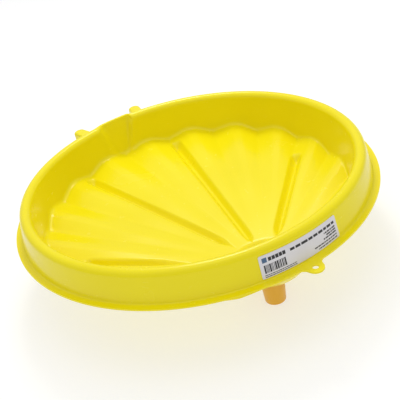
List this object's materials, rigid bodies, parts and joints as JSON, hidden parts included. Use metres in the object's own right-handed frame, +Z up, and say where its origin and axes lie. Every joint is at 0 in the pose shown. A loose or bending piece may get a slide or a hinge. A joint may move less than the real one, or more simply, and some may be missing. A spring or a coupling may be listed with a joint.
{
  "type": "drum funnel",
  "caption": "Wide, shallow round drum funnel with a rolled rim, a pleated and grooved floor that falls to an off-centre drain spout, and a lift-out strainer.",
  "frame": {"origin": "on the pan's axis, level with the lower end of the spout, which is the bottom centre of the part's bounding box", "axes": "+Z up along the pan's axis; -Y towards the drain, the front tab and the label; +Y towards the rear lugs"},
  "size_m": [0.6726, 0.7176, 0.1898],
  "materials": {
    "pan": "yellow polyethylene sheet, glossy with a fine moulded texture",
    "spout": "amber polyethylene, satin",
    "gasket": "black nitrile rubber",
    "strainer": "black moulded nylon",
    "label": null
  },
  "bodies": {
    "pan": {"funnel_pan": "pan", "drain_spout": "spout", "spout_gasket": "gasket", "spout_locknut": "spout", "label": "label"},
    "strainer": {"debris_strainer": "strainer"}
  },
  "joints": [
    {"name": "strainer_lift", "type": "slide", "parent": "pan", "child": "strainer", "axis": [0, 0, 1], "range_m": [0, 0.08]}
  ]
}
